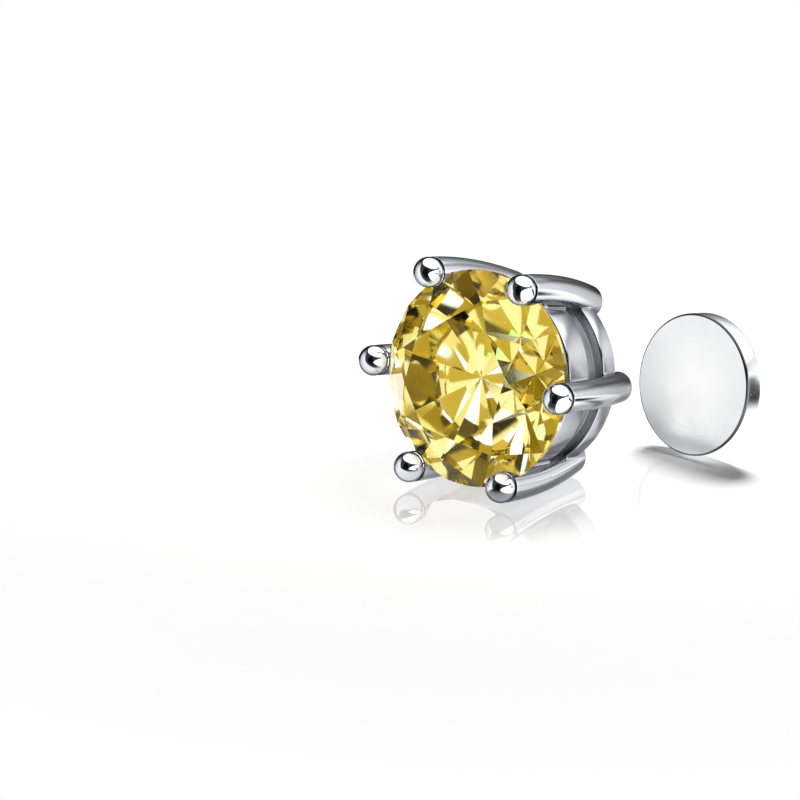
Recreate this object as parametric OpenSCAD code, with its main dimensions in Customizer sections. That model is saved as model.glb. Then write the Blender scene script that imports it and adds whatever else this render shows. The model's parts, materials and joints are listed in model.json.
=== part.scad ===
// Magnetic stud earring: a round brilliant stone in a six-prong basket with a magnet in its back,
// and the loose disc magnet that holds the basket on the ear lobe from behind.
// The head lies on its two lower prongs, and the disc stands behind it on its rim.
// Millimetres, +Z up, the stone faces -Y. The origin is the middle of the footprint, on the table.

/* [Stone] */
// Diameter of the stone at its girdle
stone_d = 8; // [6.5:0.1:9.5]
// Width of the stone's flat table, across its corners
table_d = 4.56; // [4:0.02:5.2]
// Height of the crown above the girdle
crown_h = 1.3; // [1:0.05:1.6]
// Thickness of the girdle where the facets meet it
girdle_h = 0.24; // [0.2:0.02:0.4]
// Depth of the pavilion below the girdle
pavilion_h = 3.44; // [3:0.02:3.8]
// Turn of the facets about the stone's axis
facet_turn = 12; // [0:1:45]

/* [Prongs] */
// Diameter of the prong wire and of its domed tips
prong_d = 1.14; // [1:0.02:1.4]
// How far the prong tips are centred outside the stone's edge
prong_outset = 0.21; // [0.1:0.01:0.4]
// Radius of the arc that the prongs follow from tip to back
prong_arc_r = 16; // [12:0.5:30]
// Clearance between the domed tips and the crown
tip_gap = 0.05; // [0.04:0.01:0.12]

/* [Basket] */
// Space along the axis between the girdle and the upper rail
girdle_space = 0.72; // [0.5:0.02:1]
// Height of the upper rail
upper_rail_h = 1.24; // [0.8:0.02:1.4]
// Height of the lower rail
lower_rail_h = 0.79; // [0.5:0.01:1]
// Length of the prongs' feet behind the lower rail
foot_h = 0.58; // [0.3:0.02:0.8]
// How deep the prongs are soldered into the upper rail
solder_depth = 0.1; // [0.06:0.01:0.3]
// Depth of the groove between the rails
groove_depth = 0.42; // [0.2:0.02:0.8]
// Bevel of the rails' edges
rail_bevel = 0.07; // [0.03:0.01:0.12]

/* [Head magnet] */
// Diameter of the magnet set into the back of the head
head_magnet_d = 4.6; // [4:0.1:5]
// Thickness of the magnet set into the back of the head
head_magnet_t = 0.7; // [0.5:0.05:1]
// Width of the ledge that the magnet seats against
ledge_w = 0.4; // [0.2:0.05:0.8]
// Wall of the boss round the magnet
pocket_wall = 0.57; // [0.3:0.01:0.8]

/* [Loose disc] */
// Diameter of the loose disc magnet
disc_d = 5.4; // [4:0.1:7]
// Thickness of the loose disc magnet
disc_t = 0.84; // [0.6:0.02:1.5]
// Bevel round the disc's edges
disc_bevel = 0.09; // [0.04:0.01:0.15]
// Distance along the table from the head's back to the middle of the disc
disc_apart = 4.46; // [4:0.02:8]
// Sideways place of the disc from the head's axis
disc_side = 3.9; // [0:0.1:6]
// Turn of the disc's face about the vertical
disc_turn = -7; // [-20:1:20]

/* [Gaps] */
// Gap between the stone and the metal
stone_gap = 0.03; // [0.02:0.005:0.035]
// Gap between the head's magnet and its pocket
magnet_gap = 0.03; // [0.02:0.01:0.06]
// Gap between the stone's point and the head's magnet
culet_gap = 0.11; // [0.05:0.01:0.3]

/* [Hidden] */
$fn = 96;
prong_count = 6;
metal_colour = [0.8, 0.81, 0.83];
magnet_colour = [0.72, 0.73, 0.75];
stone_colour = [0.86, 0.76, 0.16];

// The stone: eight mains, eight stars, and sixteen facets on each side of the girdle.
// A star ends halfway to the girdle, and a lower girdle facet starts near the point.
mains = 8;
step = 360 / mains;
half_step = step / 2;
edge_steps = 4;
edge_count = 2 * mains * edge_steps;
star_share = 0.5;
lower_share = 0.77;
stone_r = stone_d / 2;
table_r = table_d / 2;
crown_slope = crown_h / (stone_r - table_r);
star_r = table_r * cos(half_step) * (1 - star_share) + stone_r * star_share;
star_h = crown_h - crown_slope * (star_r * cos(half_step) - table_r);
pavilion_slope = pavilion_h / stone_r;
lower_r = stone_r * (1 - lower_share);
lower_h = pavilion_h - pavilion_slope * lower_r * cos(half_step);

// Heights in the head, whose axis is Z here, with zero at the centres of the prong tips
prong_r = prong_d / 2;
edge_angle = atan(star_h / (stone_r - star_r));
girdle_top = -(prong_r + tip_gap - prong_outset * sin(edge_angle)) / cos(edge_angle);
girdle_end = girdle_top - girdle_h;
point_z = girdle_end - pavilion_h;
ledge_z = point_z - culet_gap + magnet_gap;
back_z = ledge_z - magnet_gap - head_magnet_t;
upper_rail_top = girdle_end - girdle_space;
upper_rail_end = upper_rail_top - upper_rail_h;
lower_rail_end = back_z + foot_h;
lower_rail_top = lower_rail_end + lower_rail_h;

// Radii about the head's axis
tip_circle_r = stone_r + prong_outset;
function prong_axis_r(z) = tip_circle_r - prong_arc_r + sqrt(pow(prong_arc_r, 2) - pow(z, 2));
rail_r = prong_axis_r((upper_rail_top + upper_rail_end) / 2) - prong_r + solder_depth;
groove_r = rail_r - groove_depth;
pocket_r = head_magnet_d / 2 + magnet_gap;
boss_r = pocket_r + pocket_wall;
bore_r = head_magnet_d / 2 - ledge_w;

// The rest: the two lower prongs, this far to either side of straight down, touch the table
// where their arc is level, below the head's centre of mass
low_prong = 30;
balance_share = 0.472;
function lean_slope(z) = cos(low_prong) * -z / sqrt(pow(prong_arc_r, 2) - pow(z, 2));
function touch_z(z, rounds) =
    rounds == 0 ? z
    : touch_z(balance_share * back_z - cos(low_prong) * prong_axis_r(z) * lean_slope(z), rounds - 1);
rest_z = touch_z(balance_share * back_z, 12);
lean = atan(lean_slope(rest_z));
head_up = prong_axis_r(rest_z) * cos(low_prong) * cos(lean) - rest_z * sin(lean) + prong_r;

// How far the bevelled disc reaches along a direction that makes this cosine with its axis
disc_r = disc_d / 2;
function disc_reach(c) =
    max(disc_r * sqrt(1 - c * c) + (disc_t / 2 - disc_bevel) * abs(c),
        (disc_r - disc_bevel) * sqrt(1 - c * c) + disc_t / 2 * abs(c));
disc_y = disc_apart - back_z;
disc_up = disc_reach(sin(lean));

// The footprint, which puts the origin in its middle
reach_left = -(tip_circle_r + prong_r);
reach_right = max(-reach_left, disc_side + disc_reach(sin(disc_turn) * cos(lean)));
table_front = (girdle_top + crown_h) * cos(lean) + table_r * sin(lean);
tips_front = tip_circle_r * cos(low_prong) * sin(lean) + prong_r;
reach_front = -max(table_front, tips_front);
reach_back = disc_y + disc_reach(cos(disc_turn) * cos(lean));
origin = [(reach_left + reach_right) / 2, (reach_front + reach_back) / 2];

// A point at a radius, a height and an angle about the axis
function polar(r, h, angle) = [r * cos(angle), r * sin(angle), h];

// Height of the plane through three points, over a place
function plane_h(a, b, c, place) =
    let (n = cross(b - a, c - a))
        a[2] - (n[0] * (place[0] - a[0]) + n[1] * (place[1] - a[1])) / n[2];

// Angle of one of the points round the girdle's edge
function edge_angle_at(i) = i * half_step / edge_steps;

// Height of a point on the girdle's edge, where the facet with this inner tip meets the round girdle
function edge_h(i, tip_r, tip_h) =
    let (
        facet = floor(i / edge_steps),
        tip_angle = (2 * floor(facet / 2) + 1) * half_step
    )
        plane_h(
            polar(tip_r, tip_h, tip_angle),
            polar(stone_r, 0, facet * half_step),
            polar(stone_r, 0, (facet + 1) * half_step),
            polar(stone_r, 0, edge_angle_at(i))
        );

// The numbers of the girdle points from one to another, in a list that starts with number first
function edge_run(first, from, to) = [for (i = [from : to]) first + i % edge_count];
function backwards(list) = [for (i = [len(list) - 1 : -1 : 0]) list[i]];

// The cut stone about its own axis, with zero at the top of the girdle
module brilliant() {
    ring = [0 : mains - 1];
    edge = [0 : edge_count - 1];
    run = 2 * edge_steps;
    star_first = mains;
    top_first = star_first + mains;
    end_first = top_first + edge_count;
    lower_first = end_first + edge_count;
    culet = lower_first + mains;
    points = [
        for (i = ring) polar(table_r, crown_h, i * step),
        for (i = ring) polar(star_r, star_h, i * step + half_step),
        for (i = edge) polar(stone_r, edge_h(i, star_r, star_h), edge_angle_at(i)),
        for (i = edge) polar(stone_r, edge_h(i, lower_r, -lower_h) - girdle_h, edge_angle_at(i)),
        for (i = ring) polar(lower_r, -lower_h - girdle_h, i * step + half_step),
        [0, 0, -pavilion_h - girdle_h],
    ];
    table = [backwards([for (i = ring) i])];
    stars = [for (i = ring) [i, (i + 1) % mains, star_first + i]];
    crown_mains = [
        for (i = ring)
            let (before = (i + mains - 1) % mains)
                [i, star_first + i, top_first + i * run, star_first + before]
    ];
    upper_girdle = [
        for (i = ring, start = [i * run, i * run + edge_steps])
            concat(star_first + i, backwards(edge_run(top_first, start, start + edge_steps)))
    ];
    girdle = [
        for (i = edge)
            let (next = (i + 1) % edge_count)
                [top_first + i, top_first + next, end_first + next, end_first + i]
    ];
    lower_girdle = [
        for (i = ring, start = [i * run, i * run + edge_steps])
            concat(lower_first + i, edge_run(end_first, start, start + edge_steps))
    ];
    pavilion_mains = [
        for (i = ring)
            let (before = (i + mains - 1) % mains)
                [culet, lower_first + before, end_first + i * run, lower_first + i]
    ];
    crown = concat(table, stars, crown_mains, upper_girdle);
    pavilion = concat(lower_girdle, pavilion_mains);
    polyhedron(points, concat(crown, girdle, pavilion));
}

// The room that the metal leaves round the stone
module stone_room() {
    rotate_extrude()
        polygon([
            [0, girdle_top + crown_h + stone_gap],
            [table_r + stone_gap, girdle_top + crown_h + stone_gap],
            [star_r + stone_gap, girdle_top + star_h + stone_gap],
            [stone_r + stone_gap, girdle_top + stone_gap],
            [stone_r + stone_gap, girdle_end - stone_gap],
            [lower_r + stone_gap, girdle_end - lower_h - stone_gap],
            [0, point_z - stone_gap],
        ]);
}

// One prong along its arc, with a domed tip, a little longer than the head is deep
module prong() {
    sweep = asin(-back_z / prong_arc_r) + asin(prong_r / prong_arc_r);
    rotate_extrude()
        intersection() {
            circle(prong_r);
            square(prong_r);
        }
    translate([-prong_arc_r, 0, 0])
        rotate([-90, 0, 0])
            rotate_extrude(angle = sweep)
                translate([prong_arc_r, 0])
                    circle(prong_r);
}

// A ring of the basket about the head's axis, with bevelled outer edges
module gallery_ring(r, top, end, bevel) {
    rotate_extrude()
        polygon([
            [bore_r, top],
            [r - bevel, top],
            [r, top - bevel],
            [r, end + bevel],
            [r - bevel, end],
            [bore_r, end],
        ]);
}

module basket() {
    cut = prong_d;
    overlap = 2 * rail_bevel;
    difference() {
        union() {
            gallery_ring(rail_r, upper_rail_top, upper_rail_end, rail_bevel);
            gallery_ring(groove_r, upper_rail_end + overlap, lower_rail_top - overlap, 0);
            gallery_ring(rail_r, lower_rail_top, lower_rail_end, rail_bevel);
            gallery_ring(boss_r, lower_rail_end + overlap, back_z, rail_bevel);
            for (i = [0 : prong_count - 1])
                rotate([0, 0, i * 360 / prong_count])
                    translate([tip_circle_r, 0, 0])
                        prong();
        }
        stone_room();
        translate([0, 0, back_z - cut])
            cylinder(h = ledge_z - back_z + cut, r = pocket_r);
        translate([0, 0, back_z - cut])
            cylinder(h = cut, r = tip_circle_r + prong_d);
    }
}

// Lays the head, which is modelled with its axis along +Z, on its two lower prongs
module head_pose() {
    translate([-origin[0], -origin[1], head_up])
        rotate([90 - lean, 0, 0])
            children();
}

module setting() {
    color(metal_colour)
        head_pose()
            basket();
}

module stone() {
    color(stone_colour)
        head_pose()
            translate([0, 0, girdle_top])
                rotate([0, 0, facet_turn])
                    brilliant();
}

module head_magnet() {
    color(magnet_colour)
        head_pose()
            translate([0, 0, back_z])
                cylinder(h = head_magnet_t, d = head_magnet_d);
}

// The loose disc stands on its rim and leans as the head does, which its pull to the head keeps so
module back_magnet() {
    half_t = disc_t / 2;
    color(magnet_colour)
        translate([disc_side - origin[0], disc_y - origin[1], disc_up])
            rotate([90 - lean, 0, disc_turn])
                rotate_extrude()
                    polygon([
                        [0, -half_t],
                        [disc_r - disc_bevel, -half_t],
                        [disc_r, -half_t + disc_bevel],
                        [disc_r, half_t - disc_bevel],
                        [disc_r - disc_bevel, half_t],
                        [0, half_t],
                    ]);
}

setting();
stone();
head_magnet();
back_magnet();
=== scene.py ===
"""Looks of a magnetic stud earring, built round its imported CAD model.

The head is a yellow round brilliant in a six-prong basket with a magnet in its back. The loose disc magnet
stands behind it. Pieces are modelled in millimetres about their own axis and then laid in the model's frame.
"""

from __future__ import annotations

import json
import logging
import math
from dataclasses import dataclass
from enum import Enum
from typing import Any, Callable, Iterable, Sequence

import bmesh
import bpy
import numpy as np
from bpy.types import Material, Mesh, Node, NodeSocket, NodeTree, Object, bpy_prop_collection
from mathutils import Matrix, Vector


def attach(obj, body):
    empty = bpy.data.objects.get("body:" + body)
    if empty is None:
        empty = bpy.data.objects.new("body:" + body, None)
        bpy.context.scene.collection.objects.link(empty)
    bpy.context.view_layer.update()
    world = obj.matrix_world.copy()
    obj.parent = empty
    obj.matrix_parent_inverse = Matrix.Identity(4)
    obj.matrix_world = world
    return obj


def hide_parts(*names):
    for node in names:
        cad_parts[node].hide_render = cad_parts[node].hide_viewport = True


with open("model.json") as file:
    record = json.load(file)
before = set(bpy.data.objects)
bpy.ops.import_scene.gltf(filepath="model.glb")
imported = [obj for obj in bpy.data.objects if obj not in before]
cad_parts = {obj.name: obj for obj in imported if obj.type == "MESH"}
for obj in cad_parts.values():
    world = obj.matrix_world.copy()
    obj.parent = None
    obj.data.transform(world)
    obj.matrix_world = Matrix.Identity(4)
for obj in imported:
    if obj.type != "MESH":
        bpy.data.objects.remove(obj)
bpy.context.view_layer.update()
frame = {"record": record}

LOG = logging.getLogger("earring")
MM = 0.001
BODY = "root"

Point2 = tuple[float, float]
Colour = tuple[float, float, float]
WHITE: Colour = (1.0, 1.0, 1.0)
# How far off, in metres, a mirror has to be for a piece to show as something else in it.
FROM_AFAR = 0.0035


# Shared helpers


def degrees(*angles: float) -> tuple[float, ...]:
    """Turns angles in degrees into radians."""
    return tuple(math.radians(a) for a in angles)


def heading(azimuth: float, elevation: float) -> Vector:
    """Gives the unit direction at a heading round the earring.

    Args:
        azimuth: Degrees from the stone's front (-Y) towards +X.
        elevation: Degrees above the table.

    Returns:
        The direction, in the model's frame.
    """
    a, e = degrees(azimuth, elevation)
    return Vector((math.sin(a) * math.cos(e), -math.cos(a) * math.cos(e), math.sin(e)))


@dataclass(frozen=True)
class OwnFrame:
    """The frame that a piece is modelled in: millimetres, with +Z out of its front.

    Attributes:
        origin: Where its zero lies in the model's frame, in metres.
        turn: Its axes, as the columns of a rotation.
    """

    origin: Vector
    turn: Matrix

    @classmethod
    def at_mount(cls, name: str, depth: float, forward: float) -> "OwnFrame":
        """Finds a frame from one of the record's flat mounts.

        Args:
            name: The mount's name.
            depth: Distance from the mount's face into the piece, in millimetres.
            forward: 1 if the piece's front is where the mount's face looks, or -1.

        Returns:
            The frame, with its zero at that depth on the mount's axis.
        """
        mount = next(m for m in frame["record"]["mounts"] if m["name"] == name)
        axis = Vector(mount["axis"]).normalized()
        front = axis * forward
        side = Vector((0.0, 0.0, 1.0)).cross(front).normalized()
        up = front.cross(side)
        turn = Matrix((side, up, front)).transposed()
        return cls(Vector(mount["pos_m"]) - axis * depth * MM, turn)

    def matrix(self) -> Matrix:
        """The way from this frame's millimetres to the model's metres."""
        return Matrix.Translation(self.origin) @ self.turn.to_4x4() @ Matrix.Scale(MM, 4)

    def lay(self, obj: Object) -> Object:
        """Puts a piece modelled in this frame in its place, in its mesh."""
        obj.data.transform(self.matrix())
        obj.data.update()
        return obj


def mesh_object(
    name: str, points: Iterable[Sequence[float]], faces: Iterable[Sequence[int]], smooth: bool = True
) -> Object:
    """Makes an object from points and faces, and puts it in the scene.

    Args:
        name: The object's name.
        points: Places of the vertices.
        faces: Vertex numbers of each face, anticlockwise as seen from outside.
        smooth: Whether its faces are shaded smooth.

    Returns:
        The new object, at the origin.
    """
    mesh = bpy.data.meshes.new(name)
    mesh.from_pydata([tuple(p) for p in points], [], [tuple(f) for f in faces])
    mesh.validate()
    mesh.polygons.foreach_set("use_smooth", [smooth] * len(mesh.polygons))
    mesh.update()
    obj = bpy.data.objects.new(name, mesh)
    bpy.context.scene.collection.objects.link(obj)
    return obj


def close_up(obj: Object, gap: float = 1e-5) -> None:
    """Merges points closer than a gap, in millimetres, and turns the faces outwards."""
    bm = bmesh.new()
    bm.from_mesh(obj.data)
    bmesh.ops.remove_doubles(bm, verts=bm.verts, dist=gap)
    bmesh.ops.dissolve_degenerate(bm, edges=bm.edges, dist=gap)
    bmesh.ops.recalc_face_normals(bm, faces=bm.faces)
    bm.to_mesh(obj.data)
    bm.free()
    obj.data.update()


def arc_points(centre: Vector, start: Vector, end: Vector, steps: int) -> list[Point2]:
    """Gives the points of an arc.

    Args:
        centre: Its centre.
        start: From the centre to its first point.
        end: From the centre to its last point.
        steps: Straight pieces in it.

    Returns:
        The points in order.
    """
    sweep = math.atan2(start.x * end.y - start.y * end.x, start.dot(end))
    return [tuple(centre + Matrix.Rotation(sweep * k / steps, 2) @ start) for k in range(steps + 1)]


def round_corners(outline: Sequence[Point2], radii: Sequence[float], steps: int) -> list[Point2]:
    """Rounds the corners of a closed outline.

    Args:
        outline: The corners in order.
        radii: The rounding at each corner, 0 for a sharp one.
        steps: Straight pieces in each rounding.

    Returns:
        The points of the rounded outline.
    """
    rounded: list[Point2] = []
    count = len(outline)
    for i, (corner, radius) in enumerate(zip(outline, radii)):
        here = Vector(corner)
        if radius <= 0.0:
            rounded.append(tuple(here))
            continue
        before = (Vector(outline[i - 1]) - here).normalized()
        after = (Vector(outline[(i + 1) % count]) - here).normalized()
        half = math.acos(max(-1.0, min(1.0, before.dot(after)))) / 2
        centre = here + (before + after).normalized() * radius / math.sin(half)
        start = here + before * radius / math.tan(half) - centre
        end = here + after * radius / math.tan(half) - centre
        rounded += arc_points(centre, start, end, steps)
    return rounded


def faces_between(rows: int, size: int, closed: bool = False) -> list[tuple[int, ...]]:
    """Joins rows of points that each go round.

    Args:
        rows: Number of rows.
        size: Points in each row.
        closed: Whether the last row joins the first.

    Returns:
        The four-sided faces.
    """
    faces = []
    for i in range(rows if closed else rows - 1):
        here, there = i * size, (i + 1) % rows * size
        for k in range(size):
            n = (k + 1) % size
            faces.append((here + k, here + n, there + n, there + k))
    return faces


def lathe(name: str, outline: Sequence[Point2], segments: int, closed: bool) -> Object:
    """Turns an outline about the Z axis.

    Args:
        name: The object's name.
        outline: Radius and height of each point. An open outline starts and ends on the axis.
        segments: Steps round the axis.
        closed: Whether the last point joins the first, as on a ring.

    Returns:
        The turned piece, with its faces outwards.
    """
    angles = np.linspace(0.0, 2 * math.pi, segments, endpoint=False)
    shape = np.array(outline)
    rows = [np.outer(shape[:, 0], np.cos(angles)), np.outer(shape[:, 0], np.sin(angles))]
    rows.append(np.repeat(shape[:, 1:], segments, axis=1))
    points = np.stack(rows, axis=-1).reshape(-1, 3)
    obj = mesh_object(name, points, faces_between(len(shape), segments, closed))
    close_up(obj)
    return obj


def set_sharp(obj: Object, angle: float) -> None:
    """Marks the edges that bend by more than an angle, in degrees, as sharp."""
    obj.data.set_sharp_from_angle(angle=math.radians(angle))


def evaluated_mesh(obj: Object) -> None:
    """Replaces a piece's mesh by its result after modifiers, and removes them."""
    graph = bpy.context.evaluated_depsgraph_get()
    result = bpy.data.meshes.new_from_object(obj.evaluated_get(graph))
    old = obj.data
    obj.modifiers.clear()
    obj.data = result
    result.name = obj.name
    bpy.data.meshes.remove(old)


def cut_away(obj: Object, cutter: Object) -> None:
    """Cuts one piece's volume out of another, and deletes the cutter."""
    modifier = obj.modifiers.new("cut", "BOOLEAN")
    modifier.operation = "DIFFERENCE"
    modifier.solver = "EXACT"
    modifier.object = cutter
    evaluated_mesh(obj)
    bpy.data.objects.remove(cutter)


class Piece:
    """A visible piece that is modelled in millimetres about its own axis.

    Attributes:
        slot: The record's material slot.
        node: The CAD node that it stands for.
    """

    slot: str
    node: str

    def make(self, material: Material) -> Object:
        """Makes the piece's mesh in its own millimetres."""
        raise NotImplementedError

    def build(self, own: OwnFrame, material: Material) -> Object:
        """Makes the piece, lays it in its place, gives it its material, hides the CAD node that it stands
        for and attaches it to the body.

        Args:
            own: The frame that it is modelled in.
            material: Its material.

        Returns:
            The finished piece.
        """
        obj = own.lay(self.make(material))
        obj.data.materials.clear()
        obj.data.materials.append(material)
        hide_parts(self.node)
        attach(obj, BODY)
        LOG.info("%s: %d faces", obj.name, len(obj.data.polygons))
        return obj


# Node trees


class Graph:
    """A node tree that is written from left to right."""

    def __init__(self, tree: NodeTree) -> None:
        """Starts from an emptied tree."""
        self.tree = tree
        tree.nodes.clear()

    def node(self, kind: str, inputs: dict[Any, Any] | None = None, **settings: Any) -> Node:
        """Adds a node.

        Args:
            kind: Its type.
            inputs: Values or sockets for its inputs, by name or number.
            **settings: The node's own properties.

        Returns:
            The node.
        """
        node = self.tree.nodes.new(kind)
        node.location.x = 180 * len(self.tree.nodes)
        for name, value in settings.items():
            setattr(node, name, value)
        self.fill(node, inputs or {})
        return node

    def fill(self, node: Node, inputs: dict[Any, Any]) -> None:
        """Sets a node's inputs to values, or joins them to other nodes' outputs."""
        for name, value in inputs.items():
            socket = node.inputs[name]
            if isinstance(value, NodeSocket):
                self.tree.links.new(value, socket)
            elif socket.type == "RGBA":
                socket.default_value = (*value, 1.0)
            else:
                socket.default_value = value

    def group(self, tree: NodeTree, inputs: dict[str, Any]) -> bpy_prop_collection:
        """Adds a shader group and gives its outputs."""
        return self.node("ShaderNodeGroup", inputs, node_tree=tree).outputs

    def noise(self, place: Any, scale: float, detail: float) -> NodeSocket:
        """Adds a Noise Texture and gives its value."""
        inputs = {"Vector": place, "Scale": scale, "Detail": detail}
        return self.node("ShaderNodeTexNoise", inputs).outputs[0]

    def math(self, operation: str, *values: Any, clamp: bool = False) -> NodeSocket:
        """Adds a Math node and gives its result."""
        inputs = dict(enumerate(values))
        return self.node("ShaderNodeMath", inputs, operation=operation, use_clamp=clamp).outputs[0]

    def vector(self, operation: str, *values: Any) -> NodeSocket:
        """Adds a Vector Math node and gives its vector, or its number where that is the result."""
        places = (0, "Scale") if operation == "SCALE" else range(3)
        node = self.node("ShaderNodeVectorMath", dict(zip(places, values)), operation=operation)
        number = operation in ("DOT_PRODUCT", "LENGTH", "DISTANCE")
        return node.outputs["Value" if number else "Vector"]

    def ramp(self, value: Any, start: float, end: float, low: float = 0.0, high: float = 1.0) -> NodeSocket:
        """Maps a value smoothly from one range to another, held at both ends.

        Args:
            value: The socket that is read.
            start: Where the result is low.
            end: Where the result is high.
            low: Result at the start.
            high: Result at the end.

        Returns:
            The result's socket.
        """
        inputs = {"Value": value, "From Min": start, "From Max": end, "To Min": low, "To Max": high}
        return self.node("ShaderNodeMapRange", inputs, interpolation_type="SMOOTHSTEP").outputs[0]

    def mix(self, share: Any, first: Any, second: Any) -> NodeSocket:
        """Mixes two colours and gives the result."""
        return self.node("ShaderNodeMix", {0: share, 6: first, 7: second}, data_type="RGBA").outputs[2]

    def split(self, vector: Any) -> bpy_prop_collection:
        """Splits a vector into X, Y and Z."""
        return self.node("ShaderNodeSeparateXYZ", {0: vector}).outputs


class Shape(Enum):
    """What a group's socket carries."""

    VALUE = "NodeSocketFloat"
    VECTOR = "NodeSocketVector"
    COLOUR = "NodeSocketColor"
    GEOMETRY = "NodeSocketGeometry"
    COUNT = "NodeSocketInt"
    MATERIAL = "NodeSocketMaterial"


def make_group(
    name: str, kind: str, inputs: dict[str, Shape], outputs: dict[str, Shape]
) -> tuple[Graph, Node, Node]:
    """Makes an empty node group with its sockets.

    Args:
        name: The group's name.
        kind: The type of node tree.
        inputs: Its inputs by name.
        outputs: Its outputs by name.

    Returns:
        The group's graph, its input node and its output node.
    """
    tree = bpy.data.node_groups.new(name, kind)
    for direction, sockets in (("INPUT", inputs), ("OUTPUT", outputs)):
        for label, shape in sockets.items():
            tree.interface.new_socket(label, in_out=direction, socket_type=shape.value)
    graph = Graph(tree)
    return graph, graph.node("NodeGroupInput"), graph.node("NodeGroupOutput")


def group_of(maker: Callable[[], NodeTree], name: str) -> NodeTree:
    """Gives a shared node group, made the first time it is asked for."""
    return bpy.data.node_groups.get(name) or maker()


def run_nodes(obj: Object, tree: NodeTree, values: dict[str, Any]) -> None:
    """Runs a piece through a Geometry Nodes tree, and keeps the result as its mesh.

    Args:
        obj: The piece that the tree starts from.
        tree: The tree.
        values: Values of the tree's named inputs, apart from its geometry.
    """
    modifier = obj.modifiers.new(tree.name, "NODES")
    modifier.node_group = tree
    sockets = [item for item in tree.interface.items_tree if item.item_type == "SOCKET"]
    names = {item.name: item.identifier for item in sockets if item.in_out == "INPUT"}
    for name, value in values.items():
        modifier[names[name]] = value
    evaluated_mesh(obj)


# Shared effects of the finishes


def make_fine_polish() -> NodeTree:
    """Makes the marks that polishing leaves: soft ripples, smears and hairlines.

    Returns:
        A shader group that reads a place in millimetres and puts out a roughness and a height.
    """
    names = ("Base Roughness", "Hairlines", "Ripples")
    inputs = {"Place": Shape.VECTOR, **dict.fromkeys(names, Shape.VALUE)}
    outputs = dict.fromkeys(("Roughness", "Height"), Shape.VALUE)
    g, start, end = make_group("fine_polish", "ShaderNodeTree", inputs, outputs)
    place = start.outputs["Place"]
    ripple = g.noise(place, 1.6, 1.0)
    stretched = {"Vector": place, "Scale": (3.0, 42.0, 9.0)}
    lines = g.noise(g.node("ShaderNodeMapping", stretched).outputs[0], 2.0, 4.0)
    crossed = {"Vector": place, "Rotation": (0.4, 0.7, 0.3), "Scale": (36.0, 5.0, 4.0)}
    others = g.noise(g.node("ShaderNodeMapping", crossed).outputs[0], 2.0, 3.0)
    hair = g.ramp(g.math("MAXIMUM", lines, others), 0.56, 0.78)
    smear = g.ramp(g.noise(place, 0.7, 3.0), 0.35, 0.7, 0.8, 1.35)
    rough = g.math("MULTIPLY", start.outputs["Base Roughness"], smear)
    scratched = g.math("MULTIPLY", hair, start.outputs["Hairlines"])
    low = g.math("MULTIPLY", ripple, start.outputs["Ripples"])
    high = g.math("MULTIPLY", hair, g.math("MULTIPLY", start.outputs["Hairlines"], 0.02))
    height = g.math("SUBTRACT", low, high)
    g.fill(end, {"Roughness": g.math("ADD", rough, scratched), "Height": height})
    return g.tree


def new_material(name: str) -> tuple[Material, Graph, Node, Node]:
    """Makes a material with an output and a Principled BSDF.

    Args:
        name: The material's name.

    Returns:
        The material, its graph, its shader and its output node.
    """
    material = bpy.data.materials.new(name)
    material.use_nodes = True
    graph = Graph(material.node_tree)
    out = graph.node("ShaderNodeOutputMaterial")
    shader = graph.node("ShaderNodeBsdfPrincipled")
    graph.fill(out, {"Surface": shader.outputs[0]})
    return material, graph, shader, out


def fine_polish(g: Graph, place: Any, base: Any, hairlines: Any, ripples: float) -> bpy_prop_collection:
    """Adds the marks of polishing to a metal.

    Args:
        g: The material's graph.
        place: The shaded point in the piece's millimetres.
        base: Roughness before the marks.
        hairlines: How much the hairlines add to it.
        ripples: Height of the ripples.

    Returns:
        The outputs "Roughness" and "Height".
    """
    inputs = {"Place": place, "Base Roughness": base, "Hairlines": hairlines, "Ripples": ripples}
    return g.group(group_of(make_fine_polish, "fine_polish"), inputs)


def set_metal(g: Graph, shader: Node, colour: Any, roughness: Any, bump: dict[str, Any]) -> None:
    """Sets a metal's colour and roughness, and the inputs of its bump."""
    normal = g.node("ShaderNodeBump", bump).outputs[0]
    metal = {"Base Color": colour, "Metallic": 1.0, "Roughness": roughness, "Normal": normal}
    g.fill(shader, metal)


def axis_distance(g: Graph, x: NodeSocket, y: NodeSocket) -> NodeSocket:
    """Gives the shaded point's distance from its piece's axis."""
    return g.math("SQRT", g.math("ADD", g.math("MULTIPLY", x, x), g.math("MULTIPLY", y, y)))


def plain_light(g: Graph, strength: float, colour: Any = WHITE) -> Node:
    """Makes a shader of plain light."""
    return g.node("ShaderNodeEmission", {"Color": colour, "Strength": strength})


def show_when_mirrored(
    g: Graph, out: Node, other: Node, distance: float, solid: bool = True, table: bool = False
) -> None:
    """Shows something else in the mirror images of a piece, as the pieces were shot one by one.

    Args:
        g: The material's graph.
        out: Its output node, with the piece's own shader.
        other: The shader that shows instead.
        distance: How far off the mirror has to be, in metres.
        solid: Whether the piece's inside stays as it is for light that didn't pass straight in.
        table: Whether it shows in the table too.
    """
    path = g.node("ShaderNodeLightPath").outputs
    kept = path["Is Transmission Ray"]
    if not table:
        kept = g.math("MAXIMUM", kept, path["Is Singular Ray"])
    if solid:
        inside = g.node("ShaderNodeNewGeometry").outputs["Backfacing"]
        passed = g.math("MINIMUM", path["Transparent Depth"], 1.0)
        kept = g.math("MAXIMUM", kept, g.math("SUBTRACT", inside, passed))
    shiny = g.math("SUBTRACT", path["Is Glossy Ray"], kept, clamp=True)
    apart = g.math("MULTIPLY", shiny, g.math("GREATER_THAN", path["Ray Length"], distance))
    own = out.inputs["Surface"].links[0].from_socket
    seen = g.node("ShaderNodeMixShader", {0: apart, 1: own, 2: other.outputs[0]})
    g.fill(out, {"Surface": seen.outputs[0]})


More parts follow.
